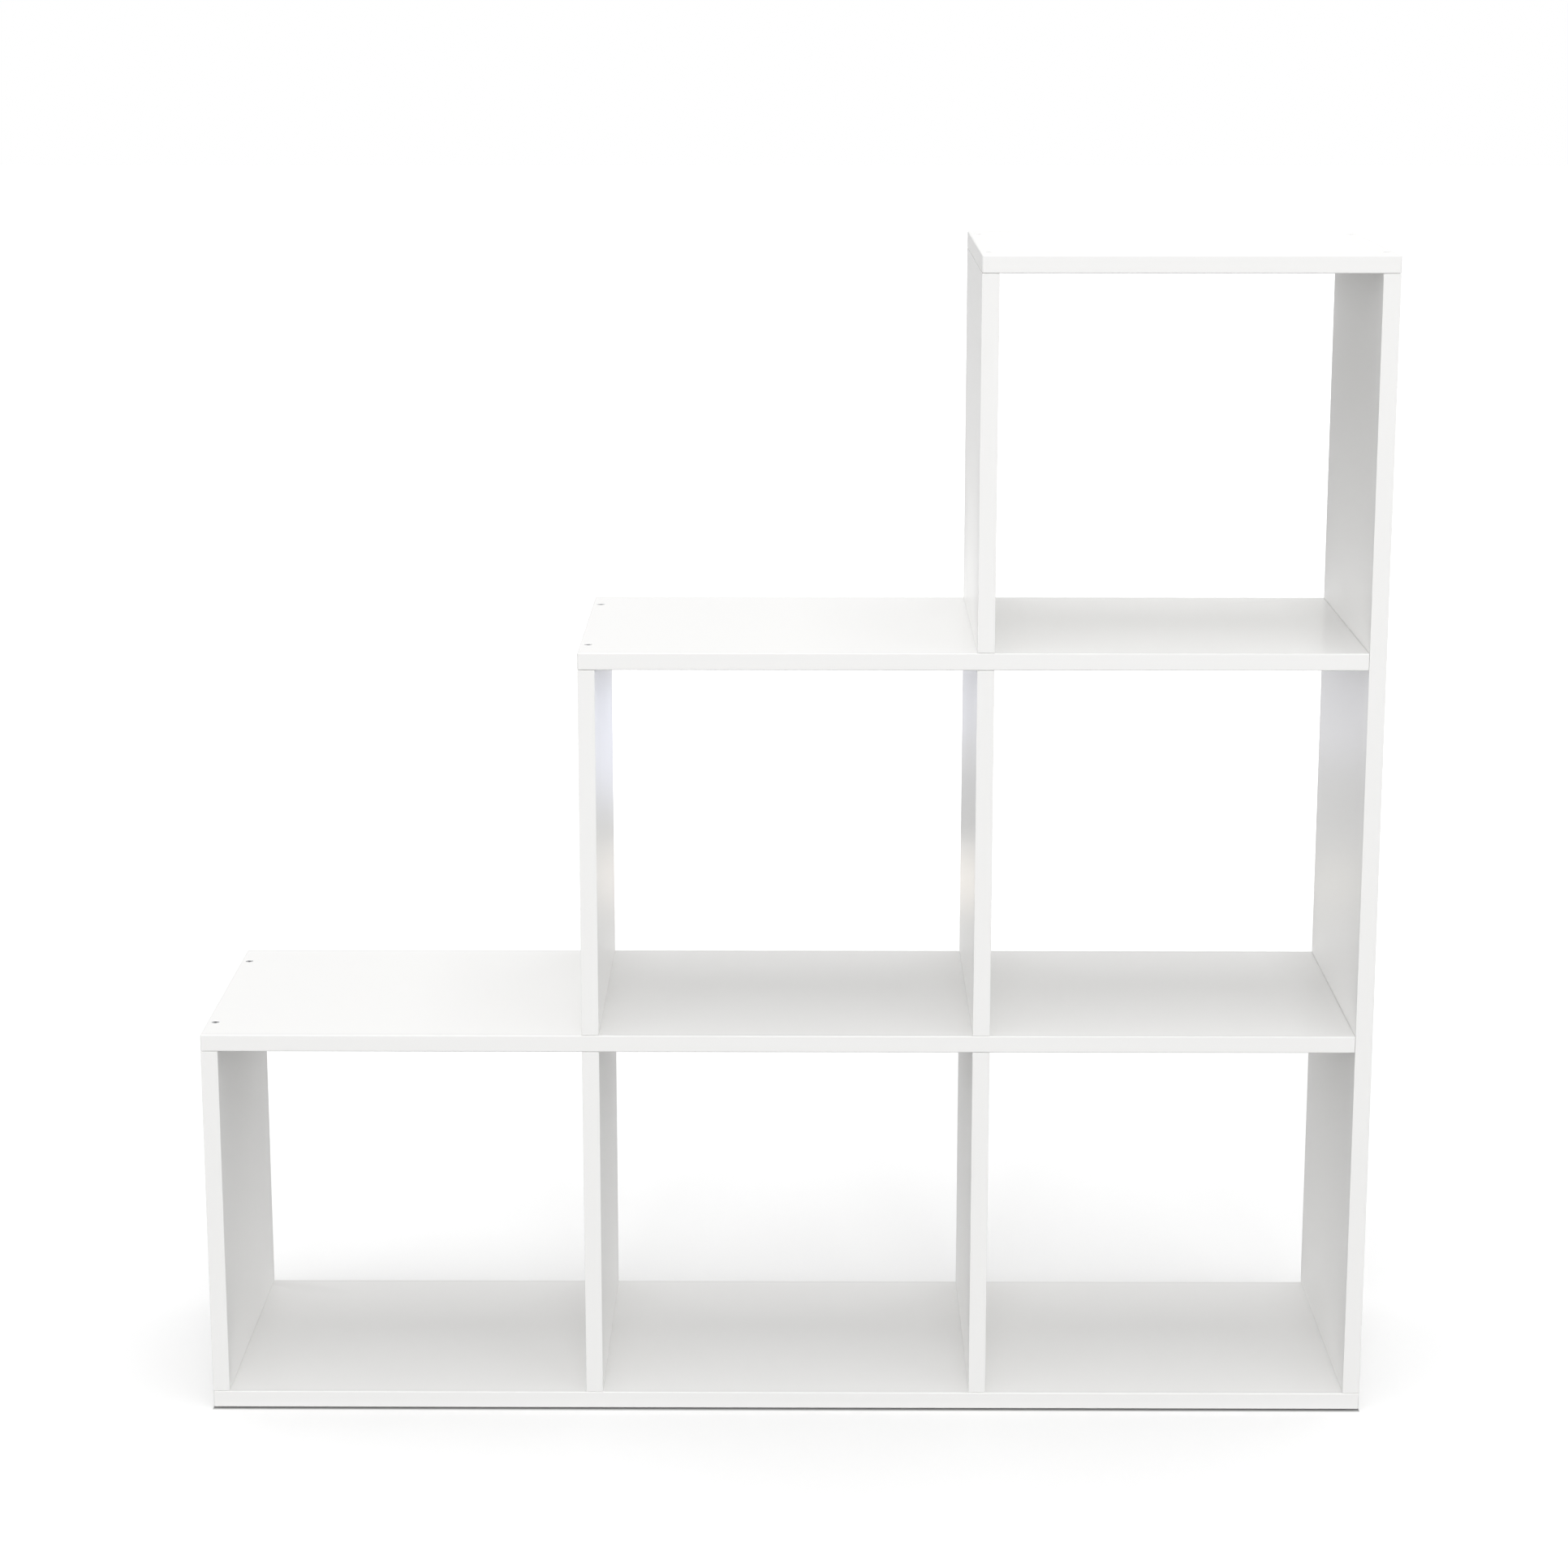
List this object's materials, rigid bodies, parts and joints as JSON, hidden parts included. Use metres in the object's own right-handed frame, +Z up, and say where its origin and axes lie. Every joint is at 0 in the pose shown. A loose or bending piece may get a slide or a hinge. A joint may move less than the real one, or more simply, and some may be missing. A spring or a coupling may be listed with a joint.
{
  "type": "staircase bookshelf",
  "caption": "Open bookshelf of white faced board whose cells climb in steps towards one tall side, screwed face to end, with no back.",
  "frame": {"origin": "on the floor, under the middle of the width and of the depth", "axes": "+Z up, the front faces -Y, and the steps climb along +X to the tall side"},
  "size_m": [1.0302, 0.28, 1.031],
  "materials": {
    "white_board": "satin white faced particle board with white edge bands",
    "zinc": "zinc plated steel",
    "beech": "bare beech",
    "grey_plastic": "moulded, matt"
  },
  "bodies": {
    "root": {"bottom_board": "white_board", "lower_side": "white_board", "lower_divider_left": "white_board", "lower_divider_right": "white_board", "lower_shelf": "white_board", "middle_side": "white_board", "middle_divider": "white_board", "middle_shelf": "white_board", "upper_side": "white_board", "top_board": "white_board", "tall_side": "white_board", "screw_lower_side_foot_front": "zinc", "screw_lower_side_foot_rear": "zinc", "screw_lower_divider_left_foot_front": "zinc", "screw_lower_divider_left_foot_rear": "zinc", "screw_lower_divider_right_foot_front": "zinc", "screw_lower_divider_right_foot_rear": "zinc", "screw_tall_side_foot_front": "zinc", "screw_tall_side_foot_rear": "zinc", "screw_lower_side_head_front": "zinc", "screw_lower_side_head_rear": "zinc", "screw_lower_divider_left_head_front": "zinc", "screw_lower_divider_left_head_rear": "zinc", "screw_lower_divider_right_head_front": "zinc", "screw_lower_divider_right_head_rear": "zinc", "screw_middle_side_head_front": "zinc", "screw_middle_side_head_rear": "zinc", "screw_middle_divider_head_front": "zinc", "screw_middle_divider_head_rear": "zinc", "screw_upper_side_head_front": "zinc", "screw_upper_side_head_rear": "zinc", "screw_tall_side_head_front": "zinc", "screw_tall_side_head_rear": "zinc", "screw_lower_shelf_end_front": "zinc", "screw_lower_shelf_end_rear": "zinc", "screw_middle_shelf_end_front": "zinc", "screw_middle_shelf_end_rear": "zinc", "dowel_lower_divider_left_head_front": "beech", "dowel_lower_divider_left_head_rear": "beech", "dowel_lower_divider_right_head_front": "beech", "dowel_lower_divider_right_head_rear": "beech", "dowel_middle_divider_head_front": "beech", "dowel_middle_divider_head_rear": "beech", "glide_1_front": "grey_plastic", "glide_1_rear": "grey_plastic", "glide_2_front": "grey_plastic", "glide_2_rear": "grey_plastic", "glide_3_front": "grey_plastic", "glide_3_rear": "grey_plastic", "glide_4_front": "grey_plastic", "glide_4_rear": "grey_plastic", "glide_1_front_nail": "zinc", "glide_1_rear_nail": "zinc", "glide_2_front_nail": "zinc", "glide_2_rear_nail": "zinc", "glide_3_front_nail": "zinc", "glide_3_rear_nail": "zinc", "glide_4_front_nail": "zinc", "glide_4_rear_nail": "zinc"}
  },
  "joints": []
}
